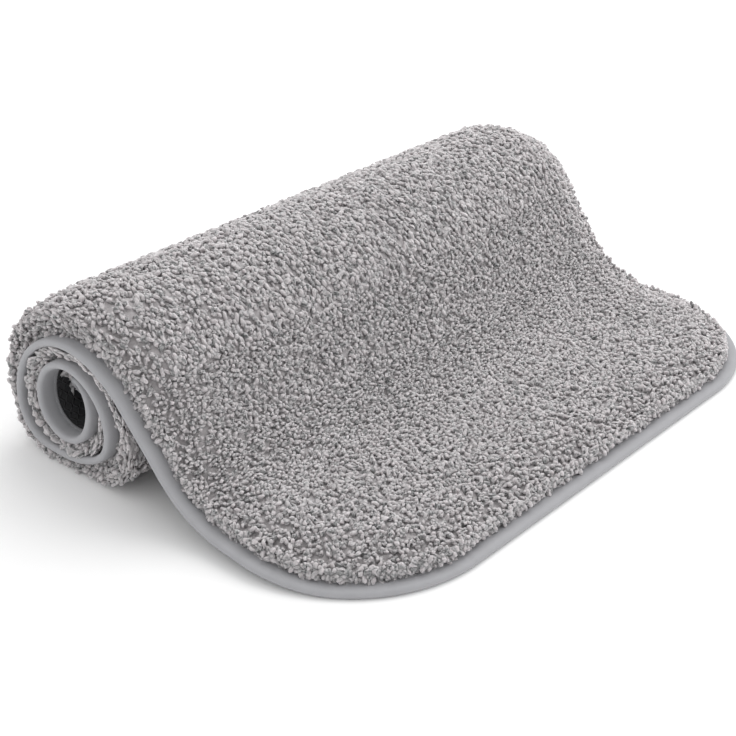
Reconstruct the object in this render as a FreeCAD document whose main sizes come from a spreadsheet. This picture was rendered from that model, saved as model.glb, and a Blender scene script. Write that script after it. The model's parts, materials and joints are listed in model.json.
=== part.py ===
"""A tufted bath mat, partly rolled up, with its pile on the outside of the roll.

Frame: X runs along the roll, Y from the mat's front edge to the roll, Z up. The origin is the centre of the
bounding box's bottom face. The mat bends about a line along X, so each piece is made as two nodes: NAME_flap
in front of that line, which lies flat, and NAME_roll behind it.

The sheet is described by s, the distance along it from the front edge, and v, the height above its underside.
"""

import FreeCAD
import Part

import math
import os

os.makedirs("parts", exist_ok=True)
doc = FreeCAD.newDocument("bath_mat")

# --- Driving dimensions, in millimetres and degrees -------------------------------------------------------

DIMENSIONS = [
    ("mat_width", 400.0, "across the mat, along the roll"),
    ("mat_length", 616.0, "along the mat, when it is flat"),
    ("corner_radius", 84.0, "rounded corner of the flat mat"),
    ("sheet_thickness", 4.3, "the bound edge, tape on both faces"),
    ("hinge_run", 86.0, "from the front edge to the line where the mat bends"),
    ("hinge_gap", 0.15, "half the gap between the two sides of the bend"),
    ("lift_travel", 30.0, "how far the flap lifts"),
    ("tape_wall", 0.6, "thickness of the folded tape"),
    ("tape_flange", 11.0, "width of the tape on each face"),
    ("core_inset", 0.8, "from the mat's edge to the edge of the layers inside the tape"),
    ("mesh_bottom", 0.7, "underside of the non-slip mesh"),
    ("mesh_top", 1.5, "upper side of the non-slip mesh"),
    ("coat_bottom", 1.6, "underside of the adhesive coat"),
    ("coat_top", 2.9, "upper side of the adhesive coat"),
    ("cloth_bottom", 3.0, "underside of the backing cloth"),
    ("cloth_top", 3.6, "upper side of the backing cloth"),
    ("thread_outer_inset", 9.2, "from the mat's edge to the stitch line"),
    ("thread_inner_inset", 9.8, "from the mat's edge to the far side of the stitch line"),
    ("thread_bottom", 4.4, "underside of the stitches"),
    ("thread_top", 4.8, "upper side of the stitches"),
    ("root_inset", 11.3, "from the mat's edge to the first tufts' roots"),
    ("crown_inset", 8.0, "from the mat's edge to the first tufts' tips, which lean over the tape"),
    ("root_bottom", 3.7, "where the tufts leave the backing cloth"),
    ("crown_bottom", 4.9, "where the tufts spread"),
    ("crown_least", 8.0, "pile that is lower than this doesn't lean over the tape"),
    ("shoulder_inset", 15.0, "from the mat's edge to the tallest tufts' tips"),
    ("shoulder_drop", 5.0, "how much lower the tufts are between there and the tape"),
    ("shoulder_least", 15.0, "pile that is lower than this has no shoulder"),
    ("row_pitch", 12.0, "the largest distance between rows of tufts"),
    ("row_gap", 0.2, "between two rows of tufts"),
    # The sheet's underside, from the front edge to the inner end of the roll.
    ("flat_run", 92.0, "flat on the floor"),
    ("rise_radius", 66.0, "curve up off the floor"),
    ("rise_turn", 52.0, "its angle"),
    ("slope_run", 42.4, "straight slope"),
    ("crest_radius", 50.0, "curve on to the roll's top"),
    ("crest_turn", -52.0, "its angle"),
    ("back_radius", 46.5, "from the roll's top down its back"),
    ("heel_radius", 19.5, "under the roll's back"),
    ("rest_run", 12.0, "where the roll rests on the floor"),
    ("low_radius", 58.0, "first part of the way up the roll's front"),
    ("low_turn", -30.0, "its angle"),
    ("front_radius", 22.0, "second part of the way up the roll's front"),
    ("front_turn", -60.0, "its angle"),
    ("top_radius", 26.6, "into the second turn"),
    ("inner_back_radius", 25.3, "second turn, back"),
    ("inner_heel_radius", 16.5, "second turn, underside"),
    ("inner_front_radius", 19.5, "second turn, front"),
    ("curl_radius", 10.5, "where the inner end curls over"),
    ("curl_turn", -80.0, "its angle"),
    ("tip_radius", 12.5, "down inside the second turn"),
    ("tip_turn", -125.0, "its angle"),
    ("end_radius", 6.8, "the inner end"),
    ("quarter_turn", -90.0, "a quarter of a turn, towards the inside of the roll"),
    # Height of the tufts' tips above the sheet's underside.
    ("pile_free", 20.0, "where nothing presses on the pile"),
    ("pile_crest", 24.0, "over the roll's top, where the bend fans it out"),
    ("pile_back", 21.0, "round the roll's back"),
    ("pile_rest", 11.9, "under the roll, pressed by its weight"),
    ("pile_front", 17.0, "on the roll's front, behind the slope"),
    ("pile_top", 12.0, "between two turns, at the top"),
    ("pile_inner_back", 11.8, "between two turns, at the back"),
    ("pile_inner", 10.6, "between two turns, underneath and at the front"),
    ("pile_end", 5.5, "on the inner end, crushed against the turn round it"),
]

sheet = doc.addObject("Spreadsheet::Sheet", "dims")
for row, (alias, value, meaning) in enumerate(DIMENSIONS, start=1):
    sheet.set(f"A{row}", meaning)
    sheet.set(f"B{row}", str(value))
    sheet.setAlias(f"B{row}", alias)
doc.recompute()


def size(alias):
    """The number in the sheet under this alias."""
    return float(sheet.get(alias))


# --- The sheet's path in the Y-Z plane ---------------------------------------------------------------------

# Each stretch: name, alias of its length, alias of its radius, alias of its turn, alias of its pile's height.
# A straight stretch has a length, and a curved one has a radius and a turn. The last takes what is left.
PATH = [
    ("flat", "flat_run", None, None, "pile_free"),
    ("rise", None, "rise_radius", "rise_turn", "pile_free"),
    ("slope", "slope_run", None, None, "pile_free"),
    ("crest", None, "crest_radius", "crest_turn", "pile_crest"),
    ("back", None, "back_radius", "quarter_turn", "pile_back"),
    ("heel", None, "heel_radius", "quarter_turn", "pile_rest"),
    ("rest", "rest_run", None, None, "pile_rest"),
    ("low", None, "low_radius", "low_turn", "pile_rest"),
    ("front", None, "front_radius", "front_turn", "pile_front"),
    ("top", None, "top_radius", "quarter_turn", "pile_top"),
    ("inner_back", None, "inner_back_radius", "quarter_turn", "pile_inner_back"),
    ("inner_heel", None, "inner_heel_radius", "quarter_turn", "pile_inner"),
    ("inner_front", None, "inner_front_radius", "quarter_turn", "pile_inner"),
    ("curl", None, "curl_radius", "curl_turn", "pile_inner"),
    ("tip", None, "tip_radius", "tip_turn", "pile_inner"),
    ("end", None, "end_radius", None, "pile_end"),
]


class Stretch:
    """One line or arc of the path, from start to end along the sheet, begun at (y, z) with a heading."""

    def __init__(self, name, start, length, radius, bend, y, z, heading, pile):
        self.name, self.start, self.end = name, start, start + length
        self.radius, self.bend = radius, bend
        self.y, self.z, self.heading = y, z, heading
        self.pile = pile

    def at(self, s, v=0.0):
        """The point (y, z) at s along the sheet, v above its underside, and the heading there."""
        along = s - self.start
        if not self.bend:
            heading = self.heading
            y = self.y + along * math.cos(heading)
            z = self.z + along * math.sin(heading)
        else:
            heading = self.heading + self.bend * along / self.radius
            y = self.y + self.bend * self.radius * (math.sin(heading) - math.sin(self.heading))
            z = self.z - self.bend * self.radius * (math.cos(heading) - math.cos(self.heading))
        return y - v * math.sin(heading), z + v * math.cos(heading), heading


def lay_path():
    """The stretches end to end. bend is 1 upwards, -1 into the roll and 0 straight."""
    stretches = []
    start, y, z, heading = 0.0, 0.0, 0.0, 0.0
    for name, run, radius, turn, pile in PATH:
        bend = 0
        if run:
            length = size(run)
        elif turn:
            angle = math.radians(size(turn))
            bend = 1 if angle > 0 else -1
            length = size(radius) * abs(angle)
        else:
            bend = -1
            length = size("mat_length") - start
        curve = size(radius) if radius else 0.0
        stretch = Stretch(name, start, length, curve, bend, y, z, heading, size(pile))
        stretches.append(stretch)
        start = stretch.end
        y, z, heading = stretch.at(start)
    return stretches


STRETCHES = lay_path()
LENGTH = size("mat_length")
HALF_WIDTH = size("mat_width") / 2
CORNER = size("corner_radius")
THICKNESS = size("sheet_thickness")
HINGE = size("hinge_run")
FACE_LEAN = math.tan(math.radians(size("lift_travel") / 2))  # the bend's two sides lean apart by the travel

# The back of the roll is where the path points straight down, so half its distance centres the model on Y.
BACK = next(stretch for stretch in STRETCHES if stretch.name == "back")
ORIGIN_Y = BACK.at(BACK.end, BACK.pile)[0] / 2


def point(s, v, x=0.0):
    """The point in the model's frame at s along the sheet and v above its underside."""
    stretch = next((each for each in STRETCHES if s <= each.end), STRETCHES[-1])
    y, z, _ = stretch.at(s, v)
    return FreeCAD.Vector(x, y - ORIGIN_Y, z)


def hinge_point(side, v, gap, x=0.0):
    """The point at height v on the face beside the bend: side is -1 on the flap and 1 on the roll."""
    return FreeCAD.Vector(x, HINGE + side * (gap + v * FACE_LEAN) - ORIGIN_Y, v)


# --- Plates: layers of the sheet, cut to the mat's outline -------------------------------------------------

CUTTER_REACH = -3.0  # a cutter's gap at the bend: it runs past the piece that it cuts
CORNER_MARGIN = 2.0  # how far a corner's cutter reaches past the mat's side and its end
FACE_MARGIN = 0.5  # how far a tool reaches past the two faces of the layer that it cuts
SAME_PLACE = 0.01  # two places closer than this are one
CORNER_SECTIONS = 24
ROW_SECTIONS = 8
SIDES = (-1, 1)
FRONT, INNER = "front", "inner"  # the mat's two ends


def side_sketch(body, name):
    """An empty sketch on the body's own Y-Z plane, whose own axes are then Y and Z."""
    sketch = body.newObject("Sketcher::SketchObject", name)
    plane = next(each for each in body.Origin.OriginFeatures if each.Role == "YZ_Plane")
    sketch.AttachmentSupport = [(plane, "")]
    sketch.MapMode = "FlatFace"
    return sketch


def in_sketch(corner):
    """A point of the model's Y-Z plane as the sketch holds it."""
    return FreeCAD.Vector(corner.y, corner.z, 0)


def width_pad(body, sketch, name, inset):
    """Pads the sketch across the mat, to inset inside each side edge."""
    pad = body.newObject("PartDesign::Pad", name)
    pad.Profile = sketch
    pad.SideType = "Symmetric"
    pad.setExpression("Length", f"dims.mat_width - 2 * dims.{inset}" if inset else "dims.mat_width")
    return pad


def flap_plate(name, inset, bottom, top, gap):
    """A flat layer in front of the bend, with the mat's two rounded front corners."""
    edge = size(inset) if inset else 0.0
    body = doc.addObject("PartDesign::Body", name)
    sketch = side_sketch(body, name + "_outline")
    corners = [
        point(edge, bottom),
        hinge_point(-1, bottom, gap),
        hinge_point(-1, top, gap),
        point(edge, top),
    ]
    for first, second in zip(corners, corners[1:] + corners[:1]):
        sketch.addGeometry(Part.LineSegment(in_sketch(first), in_sketch(second)))
    pad = width_pad(body, sketch, name + "_pad", inset)
    doc.recompute()
    front = [
        f"Edge{number}"
        for number, each in enumerate(pad.Shape.Edges, start=1)
        if each.BoundBox.YLength < SAME_PLACE and each.BoundBox.XLength < SAME_PLACE
        and abs(each.BoundBox.YMin - corners[0].y) < SAME_PLACE
    ]
    fillet = body.newObject("PartDesign::Fillet", name + "_corners")
    fillet.Base = (pad, front)
    fillet.setExpression("Radius", f"dims.corner_radius - dims.{inset}" if inset else "dims.corner_radius")
    return body


def rolled_outline(edge, bottom, top, gap):
    """The closed outline of a layer behind the bend, as lines and arcs in the Y-Z plane."""
    stop = LENGTH - edge

    def point_on(stretch, s, v):
        if s == HINGE:
            return in_sketch(hinge_point(1, v, gap))
        y, z, _ = stretch.at(s, v)
        return FreeCAD.Vector(y - ORIGIN_Y, z, 0)

    def curve(stretch, first, last, v):
        if not stretch.bend:
            return Part.LineSegment(point_on(stretch, first, v), point_on(stretch, last, v))
        middle = (first + last) / 2
        return Part.Arc(*(point_on(stretch, s, v) for s in (first, middle, last)))

    spans = [(each, max(each.start, HINGE), min(each.end, stop)) for each in STRETCHES]
    under = [curve(each, first, last, bottom) for each, first, last in spans]
    over = [curve(each, last, first, top) for each, first, last in reversed(spans)]
    tip = spans[-1][0]
    end = Part.LineSegment(point_on(tip, stop, bottom), point_on(tip, stop, top))
    start = Part.LineSegment(in_sketch(hinge_point(1, top, gap)), in_sketch(hinge_point(1, bottom, gap)))
    return under + [end] + over + [start]


def corner_cutter(side, end, edge, low, high, near=0.0, far=CORNER, count=CORNER_SECTIONS):
    """A ruled loft round a corner of the mat that cuts a layer from low to high.

    side is -1 or 1, end is FRONT or INNER, and near and far are the part's distances from that end.
    """
    radius = CORNER - edge
    begin, stop = (math.asin(min(max((CORNER - from_end) / radius, 0.0), 1.0)) for from_end in (far, near))
    sections = []
    for step in range(count + 1):
        angle = begin + (stop - begin) * step / count
        sections.append((CORNER - radius * math.sin(angle), radius * math.cos(angle)))
    if near < edge:
        sections.append((edge - CORNER_MARGIN, 0.0))
    wires = []
    for from_end, across in sections:
        s = from_end if end == FRONT else LENGTH - from_end
        inner = side * (HALF_WIDTH - CORNER + across)
        outer = side * (HALF_WIDTH + CORNER_MARGIN)
        bottom, top = low - FACE_MARGIN, high + FACE_MARGIN
        around = [(bottom, inner), (top, inner), (top, outer), (bottom, outer), (bottom, inner)]
        wires.append(Part.makePolygon([point(s, v, x) for v, x in around]))
    return Part.makeLoft(wires, True, True)


def rolled_plate(name, inset, bottom, top, gap):
    """A layer behind the bend, rolled up, with rounded corners at its inner end."""
    edge = size(inset) if inset else 0.0
    body = doc.addObject("PartDesign::Body", name + "_strip")
    sketch = side_sketch(body, name + "_outline")
    sketch.addGeometry(rolled_outline(edge, bottom, top, gap))
    width_pad(body, sketch, name + "_pad", inset)
    cutter = doc.addObject("Part::Feature", name + "_corners")
    cutter.Shape = Part.makeCompound([corner_cutter(side, INNER, edge, bottom, top) for side in SIDES])
    plate = doc.addObject("Part::Cut", name)
    plate.Base = body
    plate.Tool = cutter
    return plate


def cut(name, base, *tools):
    """base with each tool taken away in turn."""
    for number, tool in enumerate(tools, start=1):
        result = doc.addObject("Part::Cut", name if number == len(tools) else f"{name}_step_{number}")
        result.Base = base
        result.Tool = tool
        base = result
    return base


# --- The sub-parts ------------------------------------------------------------------------------------------


def make_layer(node, plate, layer):
    """One layer inside the tape: the mesh, the coat or the cloth."""
    gap = size("hinge_gap")
    return plate(node, "core_inset", size(layer + "_bottom"), size(layer + "_top"), gap)


def make_tape(node, plate):
    """The binding tape, folded round the edge: a channel open towards the middle of the mat."""
    wall = size("tape_wall")
    outer = plate(node + "_blank", None, 0.0, THICKNESS, size("hinge_gap"))
    slot = plate(node + "_slot", "tape_wall", wall, THICKNESS - wall, CUTTER_REACH)
    window = plate(node + "_window", "tape_flange", -FACE_MARGIN, THICKNESS + FACE_MARGIN, CUTTER_REACH)
    return cut(node, outer, slot, window)


def make_thread(node, plate):
    """The stitch line along the tape's hem."""
    bottom, top = size("thread_bottom"), size("thread_top")
    outer = plate(node + "_blank", "thread_outer_inset", bottom, top, size("hinge_gap"))
    low, high = bottom - FACE_MARGIN, top + FACE_MARGIN
    inner = plate(node + "_inside", "thread_inner_inset", low, high, CUTTER_REACH)
    return cut(node, outer, inner)


def sector(under, over, half_width):
    """A solid across the mat. Each of its two long faces follows 2 points, or the arc through 3."""
    edges = [Part.Arc(*under).toShape() if len(under) == 3 else Part.makeLine(*under)]
    edges.append(Part.makeLine(under[-1], over[0]))
    edges.append(Part.Arc(*over).toShape() if len(over) == 3 else Part.makeLine(*over))
    edges.append(Part.makeLine(over[-1], under[0]))
    side = Part.Face(Part.Wire(edges))
    block = side.extrude(FreeCAD.Vector(2 * half_width, 0, 0))
    block.translate(FreeCAD.Vector(-half_width, 0, 0))
    return block


def row_block(stretch, first, last, bottom, top, inset):
    """Part of one row of tufts, between two heights. A row that meets the bend leans with its face."""

    def place(s, v):
        if s == HINGE:
            side = 1 if last > HINGE else -1
            return hinge_point(side, v, size("hinge_gap"))
        y, z, _ = stretch.at(s, v)
        return FreeCAD.Vector(0, y - ORIGIN_Y, z)

    along = (first, (first + last) / 2, last) if stretch.bend else (first, last)
    under = [place(s, bottom) for s in along]
    over = [place(s, top) for s in reversed(along)]
    block = sector(under, over, HALF_WIDTH - inset)
    for end, near, far in ((FRONT, first, last), (INNER, LENGTH - last, LENGTH - first)):
        if near < CORNER - CORNER_MARGIN:
            near, far = near - CORNER_MARGIN, far + CORNER_MARGIN
            for side in SIDES:
                block = block.cut(corner_cutter(side, end, inset, bottom, top, near, far, ROW_SECTIONS))
    return block


def row_spans(stretch, begin, stop):
    """Equal rows over the part of a stretch that lies between begin and stop."""
    first, last = max(stretch.start, begin), min(stretch.end, stop)
    if last - first < size("row_gap"):
        return []
    count = math.ceil((last - first) / size("row_pitch"))
    pitch = (last - first) / count
    return [(first + number * pitch, first + (number + 1) * pitch) for number in range(count)]


def row_layers(pile):
    """Height of the bottom and the top of each part of a row, and its inset: roots, crown and shoulder."""
    if pile < size("crown_least"):
        return [(size("root_bottom"), pile, size("root_inset"))]
    roots = (size("root_bottom"), size("crown_bottom"), size("root_inset"))
    if pile < size("shoulder_least"):
        return [roots, (size("crown_bottom"), pile, size("crown_inset"))]
    shoulder = pile - size("shoulder_drop")
    return [
        roots,
        (size("crown_bottom"), shoulder, size("crown_inset")),
        (shoulder, pile, size("shoulder_inset")),
    ]


def make_pile(node, begin, stop):
    """The rows of tufts between begin and stop: narrow at the roots, wider where they lean over the tape, and
    narrower again at the tips."""
    root_inset = size("root_inset")
    half_gap = size("row_gap") / 2
    rows = []
    for stretch in STRETCHES:
        for first, last in row_spans(stretch, begin, stop):
            low = first if first == HINGE else first + half_gap
            high = last if last == HINGE else last - half_gap
            parts = []
            for bottom, top, inset in row_layers(stretch.pile):
                start = low + inset - root_inset if first == root_inset else low
                finish = high - inset + root_inset if last == LENGTH - root_inset else high
                parts.append(row_block(stretch, start, finish, bottom, top, inset))
            rows.append(parts[0].fuse(parts[1:]).removeSplitter() if parts[1:] else parts[0])
    pile = doc.addObject("Part::Feature", node)
    pile.Shape = Part.makeCompound([solid for row in rows for solid in row.Solids])
    return pile


nodes = {}
for side, plate in (("flap", flap_plate), ("roll", rolled_plate)):
    for node, layer in (("nonslip_mesh", "mesh"), ("adhesive_coat", "coat"), ("backing_cloth", "cloth")):
        nodes[f"{node}_{side}"] = make_layer(f"{node}_{side}", plate, layer)
    nodes[f"binding_tape_{side}"] = make_tape(f"binding_tape_{side}", plate)
    nodes[f"binding_thread_{side}"] = make_thread(f"binding_thread_{side}", plate)
nodes["pile_flap"] = make_pile("pile_flap", size("root_inset"), HINGE)
nodes["pile_roll"] = make_pile("pile_roll", HINGE, LENGTH - size("root_inset"))
doc.recompute()

# --- Checks and export --------------------------------------------------------------------------------------

for thing in doc.Objects:
    if "Invalid" in thing.State or "Error" in thing.State:
        raise RuntimeError(f"{thing.Name} is {thing.State}")
for node, thing in nodes.items():
    if thing.Shape.isNull() or not thing.Shape.isValid() or not thing.Shape.Solids:
        raise RuntimeError(f"{node} has no valid solid")
    thing.Label = node
    thing.Shape.exportStep(f"parts/{node}.step")
    print(f"{node}: {len(thing.Shape.Solids)} solids, {thing.Shape.Volume / 1000:.1f} cm3")

box = Part.makeCompound([thing.Shape for thing in nodes.values()]).BoundBox
print(f"size {box.XLength:.1f} x {box.YLength:.1f} x {box.ZLength:.1f} mm")
print(f"centre y {box.Center.y:.2f}, foot {box.ZMin:.2f}, origin y {ORIGIN_Y:.4f}")
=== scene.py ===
"""Bath mat, partly rolled up with its pile outside: the looks of every piece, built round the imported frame.

The mat is one sheet. s is the distance along it from the front edge, x the place across it, and v the height
above its underside, all in metres. Every piece is laid out flat in (s, x, v) and then carried on to the roll.
"""

import json
import math

import bmesh
import bpy
import numpy as np
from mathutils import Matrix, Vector, noise

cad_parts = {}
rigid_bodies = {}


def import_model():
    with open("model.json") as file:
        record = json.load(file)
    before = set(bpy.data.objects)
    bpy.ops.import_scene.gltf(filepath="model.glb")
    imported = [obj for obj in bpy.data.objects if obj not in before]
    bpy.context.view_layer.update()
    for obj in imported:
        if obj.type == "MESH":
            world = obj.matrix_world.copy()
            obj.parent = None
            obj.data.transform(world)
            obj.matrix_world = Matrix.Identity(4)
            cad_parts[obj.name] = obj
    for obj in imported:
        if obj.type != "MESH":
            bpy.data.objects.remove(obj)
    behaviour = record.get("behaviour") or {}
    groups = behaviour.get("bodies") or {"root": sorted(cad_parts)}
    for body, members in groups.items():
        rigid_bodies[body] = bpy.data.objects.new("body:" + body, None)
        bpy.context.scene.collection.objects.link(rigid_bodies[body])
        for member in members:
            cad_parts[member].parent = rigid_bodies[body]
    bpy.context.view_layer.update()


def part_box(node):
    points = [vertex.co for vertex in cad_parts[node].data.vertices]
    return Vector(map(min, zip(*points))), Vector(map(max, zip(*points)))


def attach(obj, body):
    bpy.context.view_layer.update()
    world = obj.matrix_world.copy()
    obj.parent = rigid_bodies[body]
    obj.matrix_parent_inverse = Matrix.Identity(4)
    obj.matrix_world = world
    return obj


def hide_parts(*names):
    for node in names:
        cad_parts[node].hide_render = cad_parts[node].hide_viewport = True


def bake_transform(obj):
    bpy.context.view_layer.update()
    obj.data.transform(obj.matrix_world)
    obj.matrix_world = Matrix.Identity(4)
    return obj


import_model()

bl_info = {
    "name": "Rolled bath mat",
    "version": (1, 0, 0),
    "blender": (4, 5, 0),
    "location": "3D View > Sidebar > Bath Mat",
    "description": "Builds a tufted bath mat with a bound edge and a non-slip mesh back, partly rolled up",
    "category": "Add Mesh",
}

MM = 0.001
SEED = 20

# --- The sheet's path ---------------------------------------------------------------------------------------

TAPE_LOW, TAPE_HIGH = (np.array(corner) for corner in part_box("binding_tape_flap"))
FRONT_Y = TAPE_LOW[1]
HALF_WIDTH = TAPE_HIGH[0]
LENGTH = 0.616
CORNER = 0.084
THICKNESS = TAPE_HIGH[2] - TAPE_LOW[2]
HINGE = TAPE_HIGH[1] - FRONT_Y
BEND_REACH = 0.020

# Each stretch of the underside, from the front edge to the inner end: its name, its length or radius in
# millimetres and its turn in degrees. The last one runs on past the sheet's end.
STRETCHES = [
    ("flat", 92.0, 0.0),
    ("rise", 66.0, 52.0),
    ("slope", 42.4, 0.0),
    ("crest", 50.0, -52.0),
    ("back", 46.5, -90.0),
    ("heel", 19.5, -90.0),
    ("rest", 12.0, 0.0),
    ("low", 58.0, -30.0),
    ("front", 22.0, -60.0),
    ("top", 26.6, -90.0),
    ("inner back", 25.3, -90.0),
    ("inner heel", 16.5, -90.0),
    ("inner front", 19.5, -90.0),
    ("curl", 10.5, -80.0),
    ("tip", 12.5, -125.0),
    ("end", 6.8, -360.0),
]

# How high the pile's tips stand above the underside, at places along the sheet, in millimetres. Where the
# roll's turns and the floor press on the pile, this is the room that it has.
PILE_HEIGHTS = [
    (0, 18.0), (92, 18.5), (125, 18.5), (165, 20.0), (195, 24.0), (225, 25.5), (262, 25.0), (290, 22.0),
    (312, 19.5), (328, 16.0), (343, 12.2), (357, 12.2), (370, 14.8), (386, 20.0), (397, 21.5), (409, 20.5),
    (430, 15.0), (450, 11.9), (470, 13.2), (480, 15.5), (490, 18.0), (503, 18.2), (510, 14.5), (516, 10.9),
    (531, 13.6), (547, 14.6), (554, 12.6), (561, 11.2), (575, 11.2), (589, 11.0), (596, 8.5), (602, 6.6),
    (616, 7.5),
]

# The sheet doesn't lie quite alike across the mat: at its -X side it lifts off the floor nearer the front,
# and at its +X side the slope is steeper and farther back. Each change begins, is full, fades and has gone at
# four places along the sheet, and it comes in between two places across it.
SLOPE_LIFT = 6.5 * MM
LIFT_ALONG = (0.030, 0.105, 0.140, 0.215)
LIFT_ACROSS = (-HALF_WIDTH, -0.050)
SLOPE_BACK = 8.0 * MM
BACK_ALONG = (0.080, 0.140, 0.185, 0.240)
BACK_ACROSS = (0.0, HALF_WIDTH)

STEP = 0.4 * MM  # how far apart the points are that give the sheet's directions


def lay_path():
    """Start, y, z, heading and curvature of each stretch, one row each."""
    rows = []
    start, y, z, heading = 0.0, FRONT_Y, 0.0, 0.0
    for _, reach, turn in STRETCHES:
        reach *= MM
        angle = math.radians(turn)
        curvature = math.copysign(1 / reach, angle) if turn else 0.0
        length = reach * abs(angle) if turn else reach
        rows.append((start, y, z, heading, curvature))
        if turn:
            y += (math.sin(heading + angle) - math.sin(heading)) / curvature
            z -= (math.cos(heading + angle) - math.cos(heading)) / curvature
        else:
            y += length * math.cos(heading)
            z += length * math.sin(heading)
        start += length
        heading += angle
    return np.array(rows)


PATH = lay_path()


def smooth(low, high, value):
    """0 below low and 1 above high, with a soft change between them."""
    t = np.clip((value - low) / (high - low), 0, 1)
    return t * t * (3 - 2 * t)


def swell(places, value):
    """0, then 1 between the second and the third of four places, then 0 again, with soft changes."""
    begin, full, fade, gone = places
    return smooth(begin, full, value) * (1 - smooth(fade, gone, value))


def underside(s, x):
    """Points of the sheet's underside."""
    row = PATH[np.clip(np.searchsorted(PATH[:, 0], s, side="right") - 1, 0, len(PATH) - 1)]
    along = s - row[:, 0]
    y0, z0, h0, k = row[:, 1], row[:, 2], row[:, 3], row[:, 4]
    safe = np.where(k == 0, 1, k)
    h = h0 + k * along
    y = np.where(k == 0, y0 + along * np.cos(h0), y0 + (np.sin(h) - np.sin(h0)) / safe)
    z = np.where(k == 0, z0 + along * np.sin(h0), z0 - (np.cos(h) - np.cos(h0)) / safe)
    lift = swell(LIFT_ALONG, s) * (1 - smooth(*LIFT_ACROSS, x))
    back = swell(BACK_ALONG, s) * smooth(*BACK_ACROSS, x)
    return np.stack([x, y + SLOPE_BACK * back, z + SLOPE_LIFT * lift], axis=1)


def sheet(s, x, v=0.0):
    """Points at (s, x, v), and the sheet's normal and its direction of rising s there."""
    s, x = np.broadcast_arrays(np.atleast_1d(np.asarray(s, float)), np.atleast_1d(np.asarray(x, float)))
    along = underside(s + STEP, x) - underside(s - STEP, x)
    across = underside(s, x + STEP) - underside(s, x - STEP)
    normal = np.cross(across, along)
    normal /= np.linalg.norm(normal, axis=1)[:, None]
    along /= np.linalg.norm(along, axis=1)[:, None]
    return underside(s, x) + normal * np.broadcast_to(v, s.shape)[:, None], normal, along


def from_outline(s, x):
    """How far inside the mat's edge each flat point is, and the outward direction there as (ds, dx)."""
    ds = np.where(s < LENGTH / 2, s, LENGTH - s)
    dx = HALF_WIDTH - np.abs(x)
    in_corner = (ds < CORNER) & (dx < CORNER)
    to_s, to_x = CORNER - ds, CORNER - dx
    radius = np.hypot(to_s, to_x)
    inset = np.where(in_corner, CORNER - radius, np.minimum(ds, dx))
    safe = np.maximum(radius, 1e-9)
    out_s = np.where(in_corner, to_s / safe, (ds <= dx).astype(float)) * np.where(s < LENGTH / 2, -1, 1)
    out_x = np.where(in_corner, to_x / safe, (dx < ds).astype(float)) * np.sign(x)
    return inset, out_s, out_x


def outline(inset, spacing):
    """Points round the mat at this inset: s, x, the way inwards (ds, dx) and the distance round the edge."""
    straight_x, straight_s = 2 * (HALF_WIDTH - CORNER), LENGTH - 2 * CORNER
    arc = CORNER * math.pi / 2
    legs = [straight_x, arc, straight_s, arc] * 2
    total = sum(legs)
    place = np.arange(round(total / spacing)) * total / round(total / spacing)
    ends = np.cumsum(legs)
    leg = np.searchsorted(ends, place, side="right")
    t = (place - (ends - legs)[leg]) / np.array(legs)[leg]
    angle = np.array([-90, -90, 0, 0, 90, 90, 180, 180])[leg] + np.where(leg % 2 == 1, 90 * t, 0)
    out_x, out_s = np.cos(np.radians(angle)), np.sin(np.radians(angle))
    # The corner's centre that each place turns about, or that a straight leg leaves and reaches.
    first = np.array([(-1, -1), (1, -1), (1, -1), (1, 1), (1, 1), (-1, 1), (-1, 1), (-1, -1)])[leg]
    last = np.array([(1, -1), (1, -1), (1, 1), (1, 1), (-1, 1), (-1, 1), (-1, -1), (-1, -1)])[leg]
    spread = np.array([HALF_WIDTH - CORNER, LENGTH / 2 - CORNER])
    centre = (first + (last - first) * t[:, None]) * spread
    x = centre[:, 0] + (CORNER - inset) * out_x
    s = LENGTH / 2 + centre[:, 1] + (CORNER - inset) * out_s
    return s, x, -out_s, -out_x, place


# --- Properties ---------------------------------------------------------------------------------------------


def length_property(name, description, default):
    """A length in metres that a user may change."""
    return bpy.props.FloatProperty(
        name=name,
        description=description,
        default=default,
        min=0.0,
        unit="LENGTH",
        subtype="DISTANCE",
        precision=4,
    )


def colour_property(name, description, default):
    """A colour that a user may change."""
    return bpy.props.FloatVectorProperty(
        name=name,
        description=description,
        default=default,
        min=0.0,
        max=1.0,
        size=3,
        subtype="COLOR",
    )


class BathMatSizes(bpy.types.PropertyGroup):
    """Sizes of what repeats on the mat."""

    tuft_pitch: length_property("Tuft pitch", "Distance between neighbouring tufts", 3.6 * MM)
    strand_radius: length_property("Strand radius", "Half the thickness of a tuft's yarn", 1.15 * MM)
    tuft_spread: length_property("Tuft spread", "How far a tuft's strands lean out from its root", 1.9 * MM)
    root_inset: length_property("Root inset", "From the mat's edge to the outermost tufts", 11.4 * MM)
    tape_flange: length_property("Tape width", "Width of the binding tape on each face", 11.0 * MM)
    stitch_pitch: length_property("Stitch pitch", "Length of one stitch of the binding's seam", 3.2 * MM)
    mesh_pitch: length_property("Mesh pitch", "Width of one diamond of the non-slip mesh", 6.0 * MM)


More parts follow.
